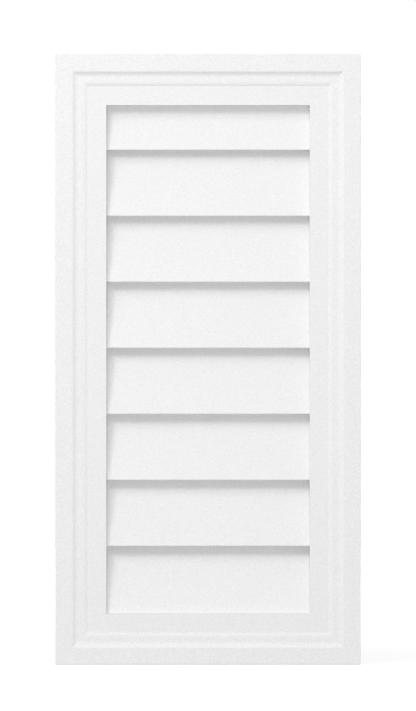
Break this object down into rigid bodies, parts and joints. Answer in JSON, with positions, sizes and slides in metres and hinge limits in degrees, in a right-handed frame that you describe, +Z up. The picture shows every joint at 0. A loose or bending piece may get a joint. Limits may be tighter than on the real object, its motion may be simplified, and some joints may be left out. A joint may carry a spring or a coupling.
{
  "type": "louvered vent",
  "caption": "Upright rectangular wall vent: a mitred moulded frame round a box of fixed sloping louvers, with an insect screen at the back. Lets air through and sheds rain.",
  "frame": {"origin": "centre of the back, in the wall plane", "axes": "+Z up, +Y into the wall, so that the front faces -Y, and +X to the right as seen from the front"},
  "size_m": [0.3048, 0.0508, 0.6096],
  "materials": {
    "cellular_pvc": "white, matte, fine even skin",
    "screen_mesh": "plain woven wire",
    "stainless_steel": "plain"
  },
  "bodies": {
    "root": {"head_casing": "cellular_pvc", "sill_casing": "cellular_pvc", "left_casing": "cellular_pvc", "right_casing": "cellular_pvc", "head_board": "cellular_pvc", "sill_board": "cellular_pvc", "left_jamb": "cellular_pvc", "right_jamb": "cellular_pvc", "louver_1": "cellular_pvc", "louver_2": "cellular_pvc", "louver_3": "cellular_pvc", "louver_4": "cellular_pvc", "louver_5": "cellular_pvc", "louver_6": "cellular_pvc", "louver_7": "cellular_pvc", "louver_8": "cellular_pvc", "insect_screen": "screen_mesh", "box_screws": "stainless_steel"}
  },
  "joints": []
}
